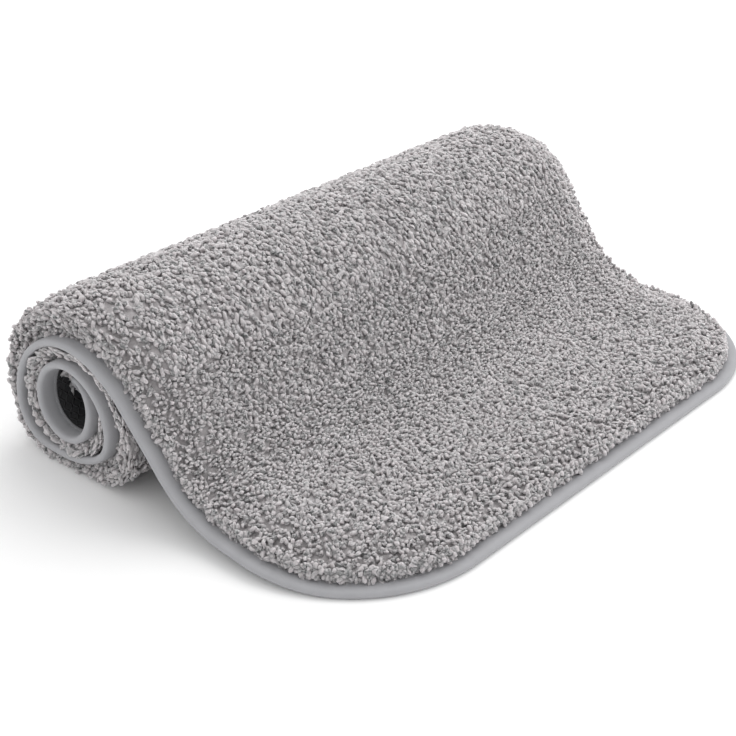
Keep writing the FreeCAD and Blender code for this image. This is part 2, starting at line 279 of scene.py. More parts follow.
class BathMatColours(bpy.types.PropertyGroup):
    """Colours of the mat's materials."""

    pile_tip: colour_property("Pile tips", "Colour of the yarn at the tufts' tips", (0.485, 0.462, 0.469))
    # The roots are painted a little darker than the tips, as painted shade deep in the pile.
    pile_root_painted_shade: colour_property("Pile roots", "Colour of the yarn deep in the pile", (0.455, 0.432, 0.438))
    tape: colour_property("Tape", "Colour of the binding tape", (0.36, 0.36, 0.375))
    thread: colour_property("Thread", "Colour of the seam's thread", (0.34, 0.34, 0.355))
    cloth: colour_property("Backing cloth", "Colour of the woven cloth under the pile", (0.25, 0.24, 0.24))
    coat: colour_property("Adhesive coat", "Colour of the coat that locks the tufts", (0.07, 0.07, 0.072))
    mesh: colour_property("Non-slip mesh", "Colour of the mesh on the mat's back", (0.045, 0.045, 0.047))


# --- Meshes and materials -----------------------------------------------------------------------------------


def new_object(name, data):
    piece = bpy.data.objects.new(name, data)
    bpy.context.scene.collection.objects.link(piece)
    return piece


def mesh_from(name, points, faces, smooth_faces=True):
    """A mesh from points and faces, with the faces that it was given."""
    mesh = bpy.data.meshes.new(name)
    mesh.from_pydata(np.asarray(points).tolist(), [], [tuple(map(int, face)) for face in faces])
    mesh.polygons.foreach_set("use_smooth", [smooth_faces] * len(mesh.polygons))
    mesh.update()
    return mesh


def point_out(mesh):
    """Turns a closed mesh's faces outwards."""
    work = bmesh.new()
    work.from_mesh(mesh)
    bmesh.ops.recalc_face_normals(work, faces=work.faces)
    if work.calc_volume(signed=True) < 0:
        bmesh.ops.reverse_faces(work, faces=work.faces)
    work.to_mesh(mesh)
    work.free()


def coordinates(mesh):
    """The x, y and z of a mesh's points, as three rows."""
    points = np.empty(len(mesh.vertices) * 3)
    mesh.vertices.foreach_get("co", points)
    return points.reshape(-1, 3).T


def set_attribute(mesh, name, kind, values):
    attribute = mesh.attributes.new(name, kind, "POINT")
    key = "vector" if kind == "FLOAT_VECTOR" else "value"
    attribute.data.foreach_set(key, np.ascontiguousarray(values).ravel())


class Shader:
    """A material with its Principled shader, and short ways to add and join nodes."""

    def __init__(self, name, **sockets):
        self.material = bpy.data.materials.new(name)
        self.material.use_nodes = True
        self.tree = self.material.node_tree
        self.principled = next(node for node in self.tree.nodes if node.type == "BSDF_PRINCIPLED")
        for socket, value in sockets.items():
            self.principled.inputs[socket.replace("_", " ")].default_value = value

    def add(self, kind, **settings):
        node = self.tree.nodes.new(kind)
        for name, value in settings.items():
            if hasattr(node, name):
                setattr(node, name, value)
            else:
                node.inputs[name.replace("_", " ")].default_value = value
        return node

    def join(self, output, target):
        self.tree.links.new(output, target)

    def attribute(self, name):
        return self.add("ShaderNodeAttribute", attribute_name=name).outputs["Fac"]

    def place(self):
        return self.add("ShaderNodeTexCoord").outputs["Object"]

    def noise(self, scale, detail=2.0, vector=None):
        node = self.add("ShaderNodeTexNoise", Scale=scale, Detail=detail)
        self.join(vector or self.place(), node.inputs["Vector"])
        return node.outputs["Fac"]

    def between(self, factor, low, high):
        """The factor carried from 0 to 1 on to low to high."""
        node = self.add("ShaderNodeMapRange")
        node.inputs["To Min"].default_value = low
        node.inputs["To Max"].default_value = high
        self.join(factor, node.inputs["Value"])
        return node.outputs["Result"]

    def math(self, operation, first, second):
        node = self.add("ShaderNodeMath", operation=operation)
        for value, socket in ((first, node.inputs[0]), (second, node.inputs[1])):
            if isinstance(value, float):
                socket.default_value = value
            else:
                self.join(value, socket)
        return node.outputs[0]

    def mix(self, factor, first, second):
        """A colour between two, as the factor goes from 0 to 1."""
        node = self.add("ShaderNodeMix", data_type="RGBA")
        self.join(factor, node.inputs["Factor"])
        node.inputs["A"].default_value = (*first, 1.0)
        node.inputs["B"].default_value = (*second, 1.0)
        return node.outputs["Result"]

    def plain(self, colour):
        """One colour, as a node of its own."""
        node = self.add("ShaderNodeRGB")
        node.outputs[0].default_value = (*colour, 1.0)
        return node.outputs[0]

    def colour(self, colour, factor):
        """Gives the material this colour, made lighter or darker by the factor."""
        node = self.add("ShaderNodeVectorMath", operation="SCALE")
        self.join(colour, node.inputs[0])
        self.join(factor, node.inputs["Scale"])
        self.join(node.outputs[0], self.principled.inputs["Base Color"])

    def bump(self, height, distance, strength=1.0):
        node = self.add("ShaderNodeBump", Distance=distance, Strength=strength)
        self.join(height, node.inputs["Height"])
        self.join(node.outputs["Normal"], self.principled.inputs["Normal"])


def yarn_material(colours):
    """Curly microfibre yarn, painted darker deep in the pile than at its tips as painted shade, and each tuft
    a little different.
    """
    shader = Shader(
        "curly_yarn",
        Roughness=0.92,
        Specular_IOR_Level=0.12,
        Sheen_Weight=0.1,
        Sheen_Roughness=0.6,
        Subsurface_Weight=1.0,
        Subsurface_Scale=2.5 * MM,
    )
    shader.principled.inputs["Subsurface Radius"].default_value = (1.0, 0.95, 0.95)
    # Painted shade: the yarn gets darker towards its roots, where the pile would shade it.
    depth = shader.math("POWER", shader.attribute("tip"), 0.8)
    yarn = shader.mix(depth, tuple(colours.pile_root_painted_shade), tuple(colours.pile_tip))
    shade = shader.between(shader.attribute("shade"), 0.92, 1.07)
    patches = shader.between(shader.noise(26.0, 3.0), 0.91, 1.08)
    fibres = shader.between(shader.noise(1100.0, 3.0), 0.88, 1.12)
    patches = shader.math("MULTIPLY", patches, fibres)
    shader.colour(yarn, shader.math("MULTIPLY", shade, patches))
    shader.bump(shader.noise(480.0, 6.0), 1.6 * MM, 0.7)
    return shader.material


def tape_material(colours):
    """Smooth woven tape with a faint satin sheen: a fine rib across the tape and a slight unevenness."""
    shader = Shader(
        "satin_tape",
        Roughness=0.55,
        Sheen_Weight=0.15,
        Sheen_Roughness=0.4,
        Specular_IOR_Level=0.3,
    )
    uv = shader.add("ShaderNodeUVMap", uv_map="UVMap").outputs["UV"]
    ribs = shader.add("ShaderNodeTexWave", Scale=420.0, Distortion=0.6, Detail=1.0)
    shader.join(uv, ribs.inputs["Vector"])
    uneven = shader.noise(120.0, 4.0)
    worn = shader.between(uneven, 0.92, 1.07)
    woven = shader.between(ribs.outputs["Fac"], 0.985, 1.01)
    shader.colour(shader.plain(colours.tape), shader.math("MULTIPLY", worn, woven))
    shader.bump(shader.math("ADD", ribs.outputs["Fac"], uneven), 0.08 * MM, 0.4)
    return shader.material


def plain_material(name, colour, grain, depth, roughness):
    """One colour broken up by a fine grain, for what lies deep in the mat."""
    shader = Shader(name, Roughness=roughness, Specular_IOR_Level=0.25)
    noise = shader.noise(grain, 4.0)
    shader.colour(shader.plain(colour), shader.between(noise, 0.75, 1.25))
    shader.bump(noise, depth, 0.6)
    return shader.material


def weave_material(colours):
    """Plain weave: two sets of threads at right angles, over and under."""
    shader = Shader("plain_weave", Roughness=0.85, Specular_IOR_Level=0.15)
    uv = shader.add("ShaderNodeUVMap", uv_map="UVMap").outputs["UV"]
    weave = []
    for direction in ("X", "Y"):
        wave = shader.add("ShaderNodeTexWave", bands_direction=direction, Scale=140.0)
        shader.join(uv, wave.inputs["Vector"])
        weave.append(wave.outputs["Fac"])
    height = shader.math("MAXIMUM", *weave)
    shader.colour(shader.plain(colours.cloth), shader.between(height, 0.6, 1.1))
    shader.bump(height, 0.2 * MM, 0.8)
    return shader.material


# --- Scattering what repeats with Geometry Nodes ------------------------------------------------------------


def scatter_tree():
    """A node tree that puts one of the pattern's shapes on each point.

    A point's own attributes say which way is out ("normal") and along ("along"), how large the shape is there
    ("size") and which one it takes ("pick"). Each shape gets a "shade" of its own at random.
    """
    tree = bpy.data.node_groups.new("Scatter on sheet", "GeometryNodeTree")
    sockets = tree.interface
    sockets.new_socket("Geometry", in_out="INPUT", socket_type="NodeSocketGeometry")
    sockets.new_socket("Pattern", in_out="INPUT", socket_type="NodeSocketCollection")
    sockets.new_socket("Size Spread", in_out="INPUT", socket_type="NodeSocketFloat")
    sockets.new_socket("Seed", in_out="INPUT", socket_type="NodeSocketInt")
    sockets.new_socket("Material", in_out="INPUT", socket_type="NodeSocketMaterial")
    sockets.new_socket("Geometry", in_out="OUTPUT", socket_type="NodeSocketGeometry")
    nodes, link = tree.nodes, tree.links.new
    given, result = nodes.new("NodeGroupInput"), nodes.new("NodeGroupOutput")

    def named(name, kind):
        node = nodes.new("GeometryNodeInputNamedAttribute")
        node.data_type = kind
        node.inputs["Name"].default_value = name
        return node.outputs["Attribute"]

    def random_float():
        node = nodes.new("FunctionNodeRandomValue")
        node.data_type = "FLOAT"
        link(given.outputs["Seed"], node.inputs["Seed"])
        return node

    shapes = nodes.new("GeometryNodeCollectionInfo")
    shapes.inputs["Separate Children"].default_value = True
    shapes.inputs["Reset Children"].default_value = True
    link(given.outputs["Pattern"], shapes.inputs["Collection"])

    upright = nodes.new("FunctionNodeAlignRotationToVector")
    upright.axis = "Z"
    link(named("normal", "FLOAT_VECTOR"), upright.inputs["Vector"])
    turned = nodes.new("FunctionNodeAlignRotationToVector")
    turned.axis, turned.pivot_axis = "X", "Z"
    link(upright.outputs["Rotation"], turned.inputs["Rotation"])
    link(named("along", "FLOAT_VECTOR"), turned.inputs["Vector"])

    spread = random_float()
    for socket, sign in (("Min", "SUBTRACT"), ("Max", "ADD")):
        limit = nodes.new("ShaderNodeMath")
        limit.operation = sign
        limit.inputs[0].default_value = 1.0
        link(given.outputs["Size Spread"], limit.inputs[1])
        link(limit.outputs[0], next(s for s in spread.inputs if s.name == socket and s.enabled))
    scale = nodes.new("ShaderNodeVectorMath")
    scale.operation = "SCALE"
    link(named("size", "FLOAT_VECTOR"), scale.inputs[0])
    link(next(s for s in spread.outputs if s.enabled), scale.inputs["Scale"])

    instances = nodes.new("GeometryNodeInstanceOnPoints")
    instances.inputs["Pick Instance"].default_value = True
    link(given.outputs["Geometry"], instances.inputs["Points"])
    link(shapes.outputs["Instances"], instances.inputs["Instance"])
    link(named("pick", "INT"), instances.inputs["Instance Index"])
    link(turned.outputs["Rotation"], instances.inputs["Rotation"])
    link(scale.outputs[0], instances.inputs["Scale"])

    shade = nodes.new("GeometryNodeStoreNamedAttribute")
    shade.data_type, shade.domain = "FLOAT", "INSTANCE"
    shade.inputs["Name"].default_value = "shade"
    link(instances.outputs["Instances"], shade.inputs["Geometry"])
    link(next(s for s in random_float().outputs if s.enabled), shade.inputs["Value"])

    realize, finish = nodes.new("GeometryNodeRealizeInstances"), nodes.new("GeometryNodeSetMaterial")
    link(shade.outputs["Geometry"], realize.inputs["Geometry"])
    link(realize.outputs["Geometry"], finish.inputs["Geometry"])
    link(given.outputs["Material"], finish.inputs["Material"])
    link(finish.outputs["Geometry"], result.inputs["Geometry"])
    return tree


def scatter(name, shapes, places, material, spread=0.0, seed=SEED):
    """A plain mesh object with one of the shapes, which are meshes, at each place.

    places holds point, normal, along, size and pick. A pile's places also hold root, which its shapes keep.
    """
    tree = bpy.data.node_groups.get("Scatter on sheet") or scatter_tree()
    pattern = bpy.data.collections.new(name + "_shapes")
    for number, mesh in enumerate(shapes):
        pattern.objects.link(bpy.data.objects.new(f"{name}_{number:02d}", mesh))
    points = mesh_from(name + "_points", places["point"], [])
    for key in ("normal", "along", "size", "root"):
        if key in places:
            set_attribute(points, key, "FLOAT_VECTOR", places[key])
    set_attribute(points, "pick", "INT", places["pick"])
    source = new_object(name + "_points", points)
    modifier = source.modifiers.new("Scatter", "NODES")
    modifier.node_group = tree
    values = {"Pattern": pattern, "Size Spread": spread, "Seed": seed, "Material": material}
    for socket in tree.interface.items_tree:
        if socket.in_out == "INPUT" and socket.name in values:
            modifier[socket.identifier] = values[socket.name]
    graph = bpy.context.evaluated_depsgraph_get()
    mesh = bpy.data.meshes.new_from_object(
        source.evaluated_get(graph), preserve_all_data_layers=True, depsgraph=graph
    )
    source.modifiers.remove(modifier)
    bpy.data.objects.remove(source)
    for shape in list(pattern.objects):
        bpy.data.objects.remove(shape)
    bpy.data.collections.remove(pattern)
    return new_object(name, mesh)


def hold(piece, node):
    """Gives a piece to the body that it lies on, or, where it reaches across the bend, bakes its place and
    leaves it on no body; and hides the CAD nodes that it stands for.
    """
    reach = np.array([vertex.co.y for vertex in piece.data.vertices])
    bend_y = FRONT_Y + HINGE
    if reach.min() < bend_y + BEND_REACH and reach.max() > bend_y - BEND_REACH:
        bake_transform(piece)
        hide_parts(node + "_roll", node + "_flap")
    else:
        body = "flap" if reach.max() <= bend_y else "roll"
        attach(piece, body)
        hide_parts(f"{node}_{body}")


# --- Layers -------------------------------------------------------------------------------------------------

CORNER_ROWS = 14
COARSE = 2 * MM  # a grid with wider spacing than this is a coarse one

# The layers inside the tape's fold: how far in from the mat's edge they end, how far apart their points are,
# and the heights of each one's two faces above the mat's underside.
LAYER_INSET = 0.9 * MM
LAYER_SPACING = 5 * MM
MESH_FACES = (1.0 * MM, 1.5 * MM)
COAT_FACES = (1.6 * MM, 2.9 * MM)
CLOTH_FACES = (3.0 * MM, 3.6 * MM)


def flat_grid(inset, spacing, first=0.0, last=LENGTH):
    """Where rows across the flat mat lie, between a first and a last, and half of each row's width.

    The rows end on the outline at this inset. Some are set where the outline turns its corners, and a coarse
    grid has no others there.
    """
    rows = np.linspace(inset, LENGTH - inset, round(LENGTH / spacing))
    bend = CORNER - (CORNER - inset) * np.sin(np.linspace(0, math.pi / 2, CORNER_ROWS))
    if spacing > COARSE:
        rows = rows[(rows > CORNER) & (rows < LENGTH - CORNER)]
    rows = np.unique(np.round(np.concatenate([rows, bend, LENGTH - bend, [first, last]]), 5))
    rows = rows[(rows >= max(first, inset)) & (rows <= min(last, LENGTH - inset))]
    from_end = np.minimum(rows, LENGTH - rows)
    corner = np.sqrt(np.maximum((CORNER - inset) ** 2 - np.maximum(CORNER - from_end, 0) ** 2, 0))
    half = HALF_WIDTH - CORNER + corner
    return rows, half


def closed_sheet(name, rows, half, wide, bottom, top):
    """A closed mesh between two heights over rows of points, on the flat mat: X across, Y along and Z up."""
    columns = np.linspace(-1, 1, wide)
    s = np.repeat(rows, wide)
    x = (half[:, None] * columns[None, :]).ravel()
    count = len(s)
    low, high = (np.stack([x, s, np.broadcast_to(level(s, x), count)], axis=1) for level in (bottom, top))
    faces = []
    for row in range(len(rows) - 1):
        for column in range(wide - 1):
            a = row * wide + column
            quad = (a, a + 1, a + 1 + wide, a + wide)
            faces.append(tuple(reversed(quad)))
            faces.append(tuple(each + count for each in quad))
    rim = list(range(wide)) + [row * wide + wide - 1 for row in range(1, len(rows))]
    rim += list(range(count - 2, count - wide - 1, -1)) + [row * wide for row in range(len(rows) - 2, 0, -1)]
    for a, b in zip(rim, rim[1:] + rim[:1]):
        faces.append((a, b, b + count, a + count))
    mesh = mesh_from(name, np.concatenate([low, high]), faces)
    set_uv(mesh, np.concatenate([np.stack([x, s], axis=1)] * 2))
    return mesh


def layer(name, faces, material):
    """A closed thin layer of the sheet between two heights, with a UV map in metres."""
    rows, half = flat_grid(LAYER_INSET, LAYER_SPACING)
    wide = round(HALF_WIDTH / LAYER_SPACING)
    mesh = closed_sheet(name, rows, half, wide, lambda s, x: faces[0], lambda s, x: faces[1])
    x, s, v = coordinates(mesh)
    mesh.vertices.foreach_set("co", sheet(s, x, v)[0].ravel())
    point_out(mesh)
    mesh.materials.append(material)
    return new_object(name, mesh)


def set_uv(mesh, flat):
    """A UV map from one pair of numbers for each vertex."""
    layer = mesh.uv_layers.new(name="UVMap")
    corner = np.empty(len(mesh.loops), int)
    mesh.loops.foreach_get("vertex_index", corner)
    layer.data.foreach_set("uv", flat[corner].astype(np.float32).ravel())


# --- The binding tape ---------------------------------------------------------------------------------------

# The folded tape's section, in millimetres: how far in from the mat's edge, and how high above the underside.
# It goes from the lower hem round the mat's edge to the upper hem, which stands up a little past the seam.
TAPE_OUTER = [
    (11.0, 0.15), (10.2, 0.12), (9.5, 0.32), (8.6, 0.08), (6.0, 0.0), (3.6, 0.0), (2.0, 0.1), (0.95, 0.45),
    (0.3, 1.05), (0.0, 1.9), (0.05, 2.8), (0.4, 3.6), (1.1, 4.15), (2.2, 4.42), (4.0, 4.55), (6.4, 4.5),
    (8.4, 4.34), (9.5, 4.08), (10.2, 4.3), (10.9, 4.78), (11.25, 5.1),
]
TAPE_CLOTH = 0.5  # the tape's own thickness, in millimetres
TAPE_SPACING = 2.0 * MM
PUFF = 0.22 * MM  # how much the tape's upper face swells and sinks along the edge
PUFF_ACROSS = (0.5 * MM, 3 * MM)
HEM_WANDER = 0.45 * MM  # how much the hems stray in and out
HEM_ACROSS = (8.5 * MM, 11 * MM)
RIPPLE_WAVES = 14
RIPPLE_TURNS = (20, 160)  # the fewest waves that one ripple has round the mat, and the most


def tape_section():
    """The closed section of the folded tape, outer side and then inner side, in metres."""
    outer = np.array(TAPE_OUTER)
    step = np.gradient(outer, axis=0)
    step /= np.linalg.norm(step, axis=1)[:, None]
    inner = outer + np.stack([-step[:, 1], step[:, 0]], axis=1) * -TAPE_CLOTH
    return np.concatenate([outer, inner[::-1]]) * MM


def ripple(place, seed, amplitude):
    """A gentle unevenness along the edge, the same at its start and its end."""
    rng = np.random.default_rng(seed)
    total = place[-1] + place[1]
    sum_of_waves = np.zeros_like(place)
    for _ in range(RIPPLE_WAVES):
        turns = rng.integers(*RIPPLE_TURNS)
        sum_of_waves += np.sin(2 * math.pi * turns * place / total + rng.uniform(0, 2 * math.pi)) / turns**0.5
    return amplitude * sum_of_waves / np.abs(sum_of_waves).max()


def make_tape(colours):
    """The tape, as one closed ring of its section round the mat's edge."""
    section = tape_section()
    s, x, in_s, in_x, place = outline(0.0, TAPE_SPACING)
    count, around = len(s), len(section)
    puff = ripple(place, SEED + 1, PUFF)
    hem = ripple(place, SEED + 2, HEM_WANDER)
    points, flat = [], []
    across = 0.0
    for number, (inset, height) in enumerate(section):
        lift = puff * smooth(*PUFF_ACROSS, inset) * (1 if height > THICKNESS / 2 else 0)
        moved = inset + hem * smooth(*HEM_ACROSS, inset)
        points.append(sheet(s + in_s * moved, x + in_x * moved, height + lift)[0])
        if number:
            across += np.linalg.norm(section[number] - section[number - 1])
        flat.append(np.stack([place, np.full(count, across)], axis=1))
    points = np.stack(points, axis=1).reshape(-1, 3)
    faces = []
    for ring in range(count):
        here, after = ring * around, (ring + 1) % count * around
        for number in range(around):
            other = (number + 1) % around
            faces.append((here + number, here + other, after + other, after + number))
    mesh = mesh_from("binding_tape", points, faces)
    point_out(mesh)
    set_uv(mesh, np.stack(flat, axis=1).reshape(-1, 2))
    mesh.materials.append(tape_material(colours))
    return new_object("binding_tape", mesh)


# --- Small shapes that repeat -------------------------------------------------------------------------------

TUFT_SHAPES = 24
TUFT_TOP = 3.9 * MM  # how far the loose ends of the yarn stand out of the dense pile
STRANDS = 3
STRAND_SIDES = 4
STRAND_RINGS = (0, 0.5, 0.84, 0.97, 1)  # where a strand's rings of points are, from its root to its tip
ROUND_FROM = 0.82  # where a strand begins to round off
STRAND_TWIST = 0.35


def tube(centres, radii, sides, twist=0.0):
    """Points and faces of a closed tube round a line of centres. A last radius of 0 makes a point."""
    centres = np.asarray(centres)
    forward = np.gradient(centres, axis=0)
    forward /= np.linalg.norm(forward, axis=1)[:, None]
    side = np.cross(forward, (0.31, 0.87, 0.38))
    side /= np.linalg.norm(side, axis=1)[:, None]
    other = np.cross(forward, side)
    points, faces = [], []
    rings = len(centres) - 1 if radii[-1] == 0 else len(centres)
    angles = 2 * math.pi * np.arange(sides) / sides
    for ring in range(rings):
        turned = angles + twist * ring
        spokes = np.outer(np.cos(turned), side[ring]) + np.outer(np.sin(turned), other[ring])
        points.extend(centres[ring] + radii[ring] * spokes)
    for ring in range(rings - 1):
        for number in range(sides):
            a, b = ring * sides + number, ring * sides + (number + 1) % sides
            faces.append((a, b, b + sides, a + sides))
    faces.append(tuple(reversed(range(sides))))
    last = (rings - 1) * sides
    if radii[-1] == 0:
        points.append(centres[-1])
        faces.extend((last + n, last + (n + 1) % sides, last + sides) for n in range(sides))
    else:
        faces.append(tuple(last + n for n in range(sides)))
    return points, faces


def tuft_shape(name, rng, sizes):
    """The loose ends of one tuft: strands of yarn that rise from one place, spread, and curl over."""
    points, faces, tips = [], [], []
    t = np.array(STRAND_RINGS)
    round_tip = np.sqrt(1 - np.clip((t - ROUND_FROM) / (1 - ROUND_FROM), 0, 1) ** 2)
    for number in range(STRANDS):
        around = 2 * math.pi * (number + rng.uniform(-0.3, 0.3)) / STRANDS
        out = np.array([math.cos(around), math.sin(around)])
        tall = TUFT_TOP * rng.uniform(0.75, 1.0)
        spread = sizes.tuft_spread * rng.uniform(0.45, 1.1)
        curl = rng.uniform(0.4, 1.0) * MM
        phase = rng.uniform(0, 2 * math.pi)
        swirl = phase + 2 * math.pi * rng.uniform(0.5, 0.9) * rng.choice([-1, 1]) * t
        hook = rng.uniform(0.6, 1.8) * MM * smooth(0.6, 1.0, t)
        flat = out * (0.35 * MM + spread * t[:, None] ** 1.3)
        turned = np.stack([np.cos(swirl), np.sin(swirl)], axis=1)
        flat = flat + curl * t[:, None] * (turned - turned[0]) + hook[:, None] * turned[-1]
        height = tall * (t - 0.18 * smooth(0.65, 1.0, t))
        radii = sizes.strand_radius * rng.uniform(0.85, 1.15) * (0.7 + 0.3 * smooth(0, 0.5, t)) * round_tip
        radii[-1] = 0
        centres = np.column_stack([flat, height])
        strand_points, strand_faces = tube(centres, radii, STRAND_SIDES, STRAND_TWIST)
        base = len(points)
        points.extend(strand_points)
        faces.extend(tuple(each + base for each in face) for face in strand_faces)
        tips.extend(np.repeat(t[:-1], STRAND_SIDES).tolist() + [1.0])
    mesh = mesh_from(name, points, faces)
    # Each point's place along its strand, from root to tip, which the yarn's painted shade follows.
    set_attribute(mesh, "tip", "FLOAT", tips)
    return mesh


# --- The pile -----------------------------------------------------------------------------------------------

ROOT_HEIGHT = 3.5 * MM  # the pile's foot, at the backing cloth
SEEN_TO = 0.360  # the pile past here is inside the roll, and its yarn shows only at the roll's ends
SEEN_END = 0.030  # how far in from the ends it has tufts
TUFTS_PER_PIECE = 1900
TUFT_SPREAD = 0.12  # how much larger or smaller than its pattern a tuft may be

# The dense part of the pile ends below the tips of the loose yarn, with lumps on its top.
LOOSE = 2.8 * MM
LUMP = 5.0 * MM
LUMP_HEIGHT = 0.8 * MM
DENSE_SPACING = 1.8 * MM
INSIDE_SPACING = 3.2 * MM

# Tufts stray from their places by this part of the pitch, and lean at random by this much.
STRAY = 0.2
STRAY_LEAN = 0.35

# Rows of tufts up the pile's side, round the mat: how close they stand, as a part of the pitch, and how far
# they lean out. The tufts next to them lean out too, less and less over a width.
EDGE_ROWS = 3
EDGE_CLOSENESS = 0.85
SIDE_LEAN = 1.6
NEXT_LEAN = 0.5
NEXT_WIDTH = 10 * MM

# Where along the sheet the near end of the pile begins to behave as it does on the roll, and inside it.
ROLL_ALONG = (0.195, 0.255)
INSIDE_ALONG = (0.370, 0.400)

# How far in from the first tufts the pile feels the edge, how far its side leans out over the tape there, and
# how much of its height it loses by it. Round the roll the bend spreads the tufts, so they stay taller.
EDGE_WIDTH = 24 * MM
FLAP_FAN = 2.0 * MM
FLAP_DROP = 0.55
ROLL_FAN = 7.0 * MM
ROLL_DROP = 0.15
INSIDE_FAN = 9.0 * MM
FLOOR_GAP = 0.3 * MM


def pile_height(s):
    """How high the pile stands at each place along the sheet."""
    table = np.array(PILE_HEIGHTS) * MM
    return np.interp(s, table[:, 0], table[:, 1])


def lumps(s, x):
    """Soft lumps over the flat mat, from about -1 to 1, where neighbouring tufts cling together."""
    places = list(zip(s / LUMP, x / LUMP))
    broad = [noise.noise((a, b, 0.5)) for a, b in places]
    fine = [noise.noise((2.2 * a, 2.2 * b, 7.5)) for a, b in places]
    return np.array(broad) + 0.7 * np.array(fine)


def dense_top(s, x):
    """How high the dense part of the pile stands. The yarn's loose ends stand out of it."""
    room = pile_height(s) - ROOT_HEIGHT
    loose = np.minimum(LOOSE, 0.35 * room)
    rise = LUMP_HEIGHT * np.minimum(room / LOOSE, 1) * lumps(s, x)
    return ROOT_HEIGHT + room - loose + rise


def tuft_places(sizes, rng):
    """Where each tuft's loose ends begin on the flat mat, which way they point, and how large they are."""
    pitch = sizes.tuft_pitch
    rows = np.arange(0, LENGTH, pitch * math.sqrt(3) / 2)
    columns = np.arange(-HALF_WIDTH, HALF_WIDTH, pitch)
    s, x = np.meshgrid(rows, columns, indexing="ij")
    x = x + (np.arange(len(rows)) % 2)[:, None] * pitch / 2
    s = (s + rng.normal(0, STRAY * pitch, s.shape)).ravel()
    x = (x + rng.normal(0, STRAY * pitch, x.shape)).ravel()
    kept = from_outline(s, x)[0] > sizes.root_inset + 0.3 * pitch
    s, x = s[kept], x[kept]
    up = np.ones(len(s))
    for row in range(EDGE_ROWS):
        row_s, row_x = outline(sizes.root_inset, EDGE_CLOSENESS * pitch)[:2]
        s, x = np.concatenate([s, row_s]), np.concatenate([x, row_x])
        up = np.concatenate([up, np.full(len(row_s), (row + 0.3) / EDGE_ROWS)])
    kept = (s < SEEN_TO) | (HALF_WIDTH - np.abs(x) < SEEN_END)
    s, x, up = s[kept], x[kept], up[kept]

    inset, out_s, out_x = from_outline(s, x)
    edge = 1 - smooth(0, NEXT_WIDTH, inset - sizes.root_inset)
    side = up < 1
    # Clumps of tufts lean the same way, in broad waves over the mat.
    wave = np.sin(s / 0.011 + 2.1 * np.sin(x / 0.037)) + np.sin(x / 0.017 + 1.7 * np.sin(s / 0.029))
    lean = np.where(side, SIDE_LEAN, NEXT_LEAN * edge)
    lean_s = lean * out_s + 0.12 * wave + rng.normal(0, STRAY_LEAN, len(s))
    lean_x = lean * out_x + 0.18 * np.cos(s / 0.019 + x / 0.023) + rng.normal(0, STRAY_LEAN, len(s))
    spin = rng.uniform(0, 2 * math.pi, len(s))
    tall = pile_height(s) - ROOT_HEIGHT
    begin = np.where(side, ROOT_HEIGHT + up * 0.8 * tall, dense_top(s, x) - 0.8 * MM)
    reach = np.minimum(1.0, 0.5 * tall / TUFT_TOP)
    width = np.where(side, 1.2, 1.0) * (0.7 + 0.3 * reach)
    return {
        "point": np.stack([x, s, begin], axis=1),
        "normal": np.stack([lean_x, lean_s, np.ones(len(s))], axis=1),
        "along": np.stack([np.cos(spin), np.sin(spin), np.zeros(len(s))], axis=1),
        "size": np.stack([width, width, reach], axis=1),
        "root": np.stack([x, s, begin], axis=1),
    }


def roll_up(mesh, root_inset):
    """Carries a flat piece of pile on to the mat. By the edge it fans out over the tape and stays lower."""
    x, s, v = coordinates(mesh)
    root = np.empty(len(mesh.vertices) * 3)
    mesh.attributes["root"].data.foreach_get("vector", root)
    root_x, root_s, begin = root.reshape(-1, 3).T
    inset, out_s, out_x = from_outline(root_s, root_x)
    tall = pile_height(root_s) - ROOT_HEIGHT
    up = np.clip((v - ROOT_HEIGHT) / tall, 0, 1.2)
    near = root_x < 0
    on_roll = smooth(*ROLL_ALONG, root_s) * near
    inside = smooth(*INSIDE_ALONG, root_s) * near
    edge = 1 - smooth(0, EDGE_WIDTH, inset - root_inset)
    fan = (FLAP_FAN + (ROLL_FAN - FLAP_FAN) * on_roll + (INSIDE_FAN - ROLL_FAN) * inside) * edge * up
    drop = FLAP_DROP + (ROLL_DROP - FLAP_DROP) * on_roll - ROLL_DROP * inside
    # The dense pile sinks towards the edge, and carries the loose ends down without shortening them.
    begun = np.sqrt(np.clip((begin - ROOT_HEIGHT) / tall, 0, 1))
    v = v - (begin - ROOT_HEIGHT) * drop * edge**1.2 * begun
    s = s + out_s * fan
    # What leans into the bend stays off the floor and out of the next turn.
    most = pile_height(np.clip(s, 0, LENGTH)) + 0.4 * MM
    v = np.where(v > most, most + 0.25 * (v - most), v)
    placed = sheet(s, x + out_x * fan, v)[0]
    # What the floor presses flat still isn't all at one height.
    placed[:, 2] = np.maximum(placed[:, 2], FLOOR_GAP + 0.02 * (placed[:, 2] % MM))
    mesh.vertices.foreach_set("co", placed.ravel())
    for name in ("root", "normal", "along", "size", "pick"):
        if name in mesh.attributes:
            mesh.attributes.remove(mesh.attributes[name])
    mesh.update()


def make_dense_pile(name, sizes, spacing, first, last):
    """The lower part of the pile, where the tufts stand so close together that they make one mass."""
    rows, half = flat_grid(sizes.root_inset, spacing, first, last)
    wide = round(2 * HALF_WIDTH / spacing)
    mesh = closed_sheet(name, rows, half, wide, lambda s, x: ROOT_HEIGHT, dense_top)
    x, s, v = coordinates(mesh)
    set_attribute(mesh, "root", "FLOAT_VECTOR", np.stack([x, s, v], axis=1))
    # The dense pile takes the roots' colour, darkened as painted shade.
    set_attribute(mesh, "tip", "FLOAT", np.zeros(len(s)))
    set_attribute(mesh, "shade", "FLOAT", 0.5 + 0.4 * lumps(s / 2, x / 2))
    return new_object(name, mesh)


